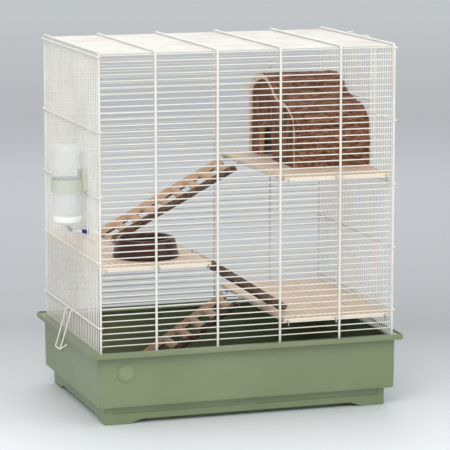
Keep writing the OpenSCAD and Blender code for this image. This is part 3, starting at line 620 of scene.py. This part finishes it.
def make_badge():
    """A low disc with a raised edge, a groove and a slightly domed middle."""
    lo, hi = box("badge")
    centre = (lo + hi) / 2
    r = (hi[0] - lo[0]) / 2
    h = hi[1] - lo[1]
    profile = [(r, -1.2 * MM), (r, h * 0.7), (r * 0.985, h), (r * 0.9, h), (r * 0.875, h * 0.45),
               (r * 0.83, h * 0.45), (r * 0.8, h * 0.85), (r * 0.5, h * 1.0), (r * 0.2, h * 1.1)]
    badge = Surface()
    lathe(badge, profile, (centre[0], hi[1], centre[2]), "Y")
    badge.build("badge_disc", "tray", badge_finish, ["badge"])


# ---------------------------------------------------------------- clips
def make_clip(side):
    """One wire: an eye round the cross bar, a leg out and down past the rim, the finger loop, and back up to a
    second eye. A short tongue points back in under the rim. side is 1 on the right and -1 on the left."""
    name = "right_clip" if side > 0 else "left_clip"
    joint = next(j for j in frame["joints"] if j["child"] == name)
    px, py, pz = joint["pos_m"]
    r, eye, half = 1.2 * MM, 3.0 * MM, 14.25 * MM
    leg = np.array([[3.4, 0, -1.5], [5.6, 0, -8], [9.4, 0, -21], [14.4, 0, -38], [17.6, 0, -48.5],
                    [19, 0, -53], [20.4, 0, -57], [21.6, -0.8, -59.6], [22, -3, -60.4], [22, -8, -60.6],
                    [22, -14.25, -60.6]]) * MM
    tongue = np.array([[22, -14.25, -60.6], [20, -14.25, -59.6], [15, -14.25, -56.6],
                       [10.6, -14.25, -53.6]]) * MM
    ring = np.radians(np.linspace(-120, 180, 24))
    curl = np.stack([eye * np.sin(ring), np.linspace(-1.0, 0, 24) * MM, -eye * np.cos(ring)], -1)
    path = np.vstack([curl[::-1] * [-1, 1, 1], leg])
    mirrored = (path * [1, -1, 1] - [0, half, 0])[::-1]
    whole = np.vstack([path + [0, half, 0], mirrored[1:]])
    t = np.concatenate([[0], np.cumsum(np.linalg.norm(np.diff(whole, axis=0), axis=1))])
    s = np.linspace(0, t[-1], 260)
    smooth = np.stack([np.interp(s, t, whole[:, k]) for k in range(3)], -1)
    kernel = np.array([1, 2, 3, 2, 1]) / 9
    padded = np.vstack([smooth[:1].repeat(2, 0), smooth, smooth[-1:].repeat(2, 0)])
    smooth = np.stack([np.convolve(padded[:, k], kernel, "valid") for k in range(3)], -1)
    clip = Surface()
    wire_tube(clip, smooth * [side, 1, 1] + [px, py, pz], r)
    wire_tube(clip, tongue * [side, 1, 1] + [px, py, pz], r)
    clip.build(name + "_wire", name, ivory, [name], sharp=60)


# ---------------------------------------------------------------- shelves
def make_shelf(name, finish, seed):
    """A flat board: rounded rectangles whose edge follows a quarter round, with slightly uneven faces."""
    lo, hi = box(name)
    centre, half = (lo + hi) / 2 / MM, (hi - lo) / 2 / MM
    a = np.linspace(0, np.pi / 2, 4)
    inset = 1.0 - np.concatenate([np.sin(a), np.cos(a)])
    z = np.concatenate([-half[2] + 1 - np.cos(a), half[2] - 1 + np.sin(a)])
    xs = np.linspace(-half[0] + 6, half[0] - 6, 12)
    ys = np.linspace(-half[1] + 6, half[1] - 6, 22)
    rings = np.array([rounded_ring(half[0] - d, half[1] - d, 3 - d * 0.5, xs, ys, 3) for d in inset])
    rings = np.concatenate([rings, np.broadcast_to(z[:, None, None], rings.shape[:2] + (1,))], -1)
    rings[..., 2] += 0.12 * ripple(seed, 8, rings[..., 0] / 12, rings[..., 1] / 30)
    rings[..., :2] += 0.08 * ripple(seed + 1, 6, rings[..., 0] / 9, rings[..., 1] / 9)[..., None]
    shelf = Surface()
    shelf.skin((rings + centre) * MM)
    shelf.build(name + "_board", "wire_top", finish, [name])


# ---------------------------------------------------------------- ladders
def rod_uv(length, r, n, m):
    """UV of a rod of n rings of m points, in metres: round it, then along it."""
    along, around = np.linspace(0, length, n + 1), np.linspace(0, 2 * np.pi * r, m + 1)
    return np.stack(np.meshgrid(along, around, indexing="ij"), -1)[..., ::-1]


def log(surface, a, b, r, side, up, cut, seed):
    """A split branch from a to b: a circle of radius r that swells and wanders along the branch, cut flat
    where it would pass cut times r towards the side given. "bark" is 1 on the round part and 0 on the cut."""
    n, m = 60, 32
    t = np.linspace(0, 1, n)[:, None]
    s = np.linspace(0, 2 * np.pi, m, endpoint=False)[None]
    length = np.linalg.norm(b - a)
    along = t * length / MM
    swell = 0.05 * ripple(seed, 7, along / 18, np.cos(s), np.sin(s))
    knobs = 0.035 * ripple(seed + 1, 9, along / 4, 3 * np.cos(s), 3 * np.sin(s))
    radius = r * (1 + swell + knobs)
    x, y = radius * np.cos(s), radius * np.sin(s)
    limit = cut * r * (1 + 0.06 * ripple(seed + 2, 6, along / 16))
    barked = np.clip((limit - x) / (0.12 * r) + 0.1, 0, 1)
    x = np.minimum(x, limit + 0.02 * r * ripple(seed + 3, 6, along / 6, y / r * 2))
    wander = 0.05 * r * ripple(seed + 4, 4, along / 40)[..., None] * up
    rings = a + (b - a) * t[..., None] + x[..., None] * side + y[..., None] * up + wander
    ends = (t < 0.004) | (t > 0.996)
    surface.skin(rings, uv=rod_uv(length, r, n, m), marks={"bark": barked * ~ends})


def stick(surface, a, b, r, up, seed):
    """A peeled stick from a to b: an oval, wider across than up, that swells a little along its length and is
    a little smaller at its two ends."""
    wide = 1.6
    n, m = 24, 14
    t = np.linspace(0, 1, n)[:, None]
    s = np.linspace(0, 2 * np.pi, m, endpoint=False)[None]
    length = np.linalg.norm(b - a)
    across = np.cross((b - a) / length, up)
    swell = 0.05 * ripple(seed, 6, t * length / MM / 10, np.cos(s), np.sin(s))
    radius = r * (1 + swell - 0.08 * (t > 0.999) - 0.08 * (t < 0.001))
    rings = a + (b - a) * t[..., None] + (wide * radius * np.cos(s))[..., None] * across
    rings = rings + (radius * np.sin(s))[..., None] * up
    surface.skin(rings, uv=rod_uv(length, r, n, m))


def make_ladder(level, side):
    """Rails and rungs along the line of the CAD rungs. side is 1 where the hinge is at the right-hand end. The
    rails' flat faces look up and in. lead is how far the rails run past the first rung."""
    rail_lo, rail_hi = box(level + "_rails")
    rung_lo, rung_hi = box(level + "_rungs")
    rung_d, rail_r, pitch, lead = 9 * MM, 7.5 * MM, 27 * MM, 14 * MM
    span = rung_hi - rung_lo - rung_d
    slope = math.atan2(span[2], span[0])
    down = np.array([-side * math.cos(slope), 0, -math.sin(slope)])
    up = np.array([-side * math.sin(slope), 0, math.cos(slope)])
    top_x = rung_hi[0] - rung_d / 2 if side > 0 else rung_lo[0] + rung_d / 2
    top = np.array([top_x, 0, rung_hi[2] - rung_d / 2])
    count = round(math.hypot(span[0], span[2]) / pitch) + 1
    rail_len = (rail_hi[0] - rail_lo[0] - 2 * rail_r * math.sin(slope)) / math.cos(slope)
    start = top - down * lead
    y_mid = (rail_lo[1] + rail_hi[1]) / 2
    rail_y = (rail_hi[1] - rail_lo[1]) / 2 - rail_r
    seed = {"upper": 10, "middle": 40, "lower": 70}[level]
    body = level + "_ladder"
    rails = Surface()
    for k, s in enumerate((-1, 1)):
        a = start + [0, y_mid + s * rail_y, 0]
        face = np.array([0, -s * 0.6, 0]) + 0.8 * up
        log(rails, a, a + down * rail_len, rail_r, face, np.cross(down, face), 0.28, seed + k)
    rails.build(level + "_log_rails", body, log_finish, [level + "_rails"], sharp=50)
    sticks = Surface()
    reach = (rung_hi[1] - rung_lo[1]) / 2
    for k in range(count):
        c = top + down * pitch * k + [0, y_mid, 0]
        stick(sticks, c - [0, reach, 0], c + [0, reach, 0], rung_d / 2, up, seed + 5 + k)
    sticks.build(level + "_sticks", body, stick_finish, [level + "_rungs"], sharp=50)


# ---------------------------------------------------------------- bark house
SECTION = np.array([
    [0, 0], [0, 0.42], [0.014, 0.565], [0.083, 0.645], [0.156, 0.71], [0.261, 0.735], [0.385, 0.772],
    [0.45, 0.82], [0.518, 0.91], [0.61, 0.984], [0.679, 1], [0.775, 0.99], [0.885, 0.925], [0.968, 0.82],
    [1, 0.67], [1, 0]])


def make_bark():
    """Half a hollow log: the section from the low front over the dome to the back, rounded off, as a wall
    whose outside carries ridges that run along the log. The wall is thicker over the dome. "cut" is 1 on its
    sawn ends and inside."""
    lo, hi = box("bark_cover")
    size = (hi - lo) / MM
    base = SECTION * [size[1], size[2]]
    t = np.concatenate([[0], np.cumsum(np.linalg.norm(np.diff(base, axis=0), axis=1))])
    s = np.linspace(0, t[-1], 180)
    curve = np.stack([np.interp(s, t, base[:, k]) for k in range(2)], -1)
    kernel = np.hanning(11)[1:-1]
    kernel /= kernel.sum()
    for _ in range(2):
        pad = np.vstack([2 * curve[0] - curve[4:0:-1], curve, 2 * curve[-1] - curve[-2:-6:-1]])
        curve = np.stack([np.convolve(pad[:, k], kernel, "valid") for k in range(2)], -1)
    curve[:, 1] *= size[2] / curve[:, 1].max()
    curve[0, 1] = curve[-1, 1] = 0
    ahead = np.gradient(curve, axis=0)
    ahead /= np.linalg.norm(ahead, axis=1, keepdims=True)
    out = np.stack([-ahead[:, 1], ahead[:, 0]], -1)
    out[0], out[-1] = [-1, 0], [1, 0]
    dome = np.exp(-((s / t[-1] - 0.62) / 0.16) ** 2)
    wall = 6.4 + 3.2 * dome
    nx, nx_in, lowest, highest = 56, 16, -1.8, 1.4
    x_out = np.linspace(0, size[0], nx)
    fine = 0.9 * ripple(3, 26, s[:, None] / 2.4, x_out[None] / 6)
    coarse = 1.2 * ripple(4, 14, s[:, None] / 7, x_out[None] / 13)
    ridge = np.maximum(fine + coarse, lowest) * np.minimum(1, (s[:, None] + 2) / 8) - 0.4
    ridge = np.clip(ridge, lowest, highest)
    x_in = np.linspace(size[0] - 0.8, 0.8, nx_in)
    end_wave = 0.7 * ripple(5, 9, s / 5)
    columns = [ridge, ridge[:, -1:] - 0.25, np.repeat(-wall[:, None], nx_in, 1), ridge[:, :1] - 0.25]
    lift = np.concatenate(columns, 1)
    x = np.concatenate([x_out, x_out[-1:], x_in, x_out[:1]])[None] + np.zeros((len(s), 1))
    x[:, [0, -1]] += end_wave[:, None]
    x[:, [nx - 1, nx]] -= end_wave[:, None]
    yz = curve[:, None] + out[:, None] * lift[..., None]
    yz[..., 1] = np.maximum(yz[..., 1], 0.0)
    rings = np.concatenate([x[..., None], yz], -1)
    cut = np.arange(rings.shape[1]) >= nx
    bark = Surface()
    bark.skin(rings * MM + lo, marks={"cut": cut})
    bark.build("bark_shell", "bark_house", bark_finish, ["bark_cover"], sharp=60)


# ---------------------------------------------------------------- bowl and bottle
def make_bowl():
    """A heavy tapering bowl: a thick wall with a rolled rim, and a dished inside."""
    lo, hi = box("bowl")
    centre = (lo + hi) / 2
    foot, rim, high = 51, 45, (hi[2] - lo[2]) / MM
    profile = [(20, 0.8), (44, 0.8), (45.5, 0)] + arc_points((foot - 2.2, 2.2), 2.2, -80, 5, 5)
    profile += [(foot - 1.6, 9), (foot - 3.6, 19)] + arc_points((rim - 3, high - 3), 3.1, 8, 172, 12)
    profile += [(rim - 7.2, high - 8), (rim - 8.4, 13)] + arc_points((rim - 15, 12.5), 6.5, 0, -90, 8)
    profile += [(15, 5.7)]
    bowl = Surface()
    lathe(bowl, np.array(profile) * MM, (centre[0], centre[1], lo[2]), around=96)
    bowl.build("bowl_glazed", "bowl", stoneware(hi[2]), ["bowl"])


def make_bottle():
    """A bottle blown with a rounded shoulder and crown, as one wall with an inside and an outside."""
    lo, hi = box("bottle")
    centre = (lo + hi) / 2
    r, wall, neck_r, neck_h, crown = (hi[0] - lo[0]) / 2 / MM, 1.4, 12, 8, 9
    base = lo[2] / MM + neck_h
    top = hi[2] / MM
    outside = [(neck_r, base - neck_h), (neck_r, base - 1)] + arc_points((r - 6, base + 6), 6, -80, 0, 7)
    outside += [(r, base + 30), (r, base + 31.2), (r - 0.7, base + 32), (r - 0.7, base + 34),
                (r, base + 34.8), (r, base + 70)]
    outside += arc_points((r - crown, top - crown), crown, 0, 88, 9) + [(6, top)]
    inside = []
    for x, z in reversed(outside):
        down = wall if z > top - crown else 0
        up = wall if base - 1 < z < base + 6 else 0
        inside.append((max(x - wall * 0.9, 0.2), z - down + up))
    inside[0] = (6, top - wall)
    bottle = Surface()
    lathe(bottle, np.array(outside + inside) * MM, (centre[0], centre[1], 0), around=64, closed=True)
    bottle.build("bottle_wall", "bottle", bottle_finish, ["bottle"])


def make_cap():
    """Screw cap: a fluted skirt that narrows to the tube."""
    lo, hi = box("bottle_cap")
    centre = (lo + hi) / 2
    r = (hi[0] - lo[0]) / 2
    z0, z1 = lo[2], hi[2]
    h = z1 - z0
    foot = [(2.6 * MM, z0), (8.6 * MM, z0), (9.4 * MM, z0 + 0.5 * MM), (r * 0.8, z0 + h * 0.27),
            (r * 0.93, z0 + h * 0.36)]
    skirt = [(r * 0.9, z0 + h * 0.3), (r * 0.985, z0 + h * 0.4), (r, z0 + h * 0.5), (r, z1 - 1.2 * MM),
             (r * 0.985, z1 - 0.3 * MM), (r * 0.9, z1)]
    cap = Surface()
    lathe(cap, foot, (centre[0], centre[1], 0), around=120)
    lathe(cap, skirt, (centre[0], centre[1], 0), around=240, ribs=40, rib_depth=0.03)
    cap.build("cap_fluted", "bottle", cap_finish, ["bottle_cap"], sharp=50)


make_tray()
make_badge()
make_clip(-1)
make_clip(1)
lo, hi = box("upper_shelf")
shelf_finish = plank(float(hi[1] - lo[1]))
for seed, name in enumerate(("upper_shelf", "left_shelf", "lower_shelf")):
    make_shelf(name, shelf_finish, 100 + 10 * seed)
make_ladder("upper", 1)
make_ladder("middle", -1)
make_ladder("lower", 1)
make_bark()
lo, hi = box("house_front_board")
end_boards = house_board(door_y=0.073, door_z=float(lo[2]) + 0.026, door_r=0.03, mid_x=0.166)
dress(end_boards, "house_front_board", "house_back_board")
make_bowl()
make_bottle()
make_cap()
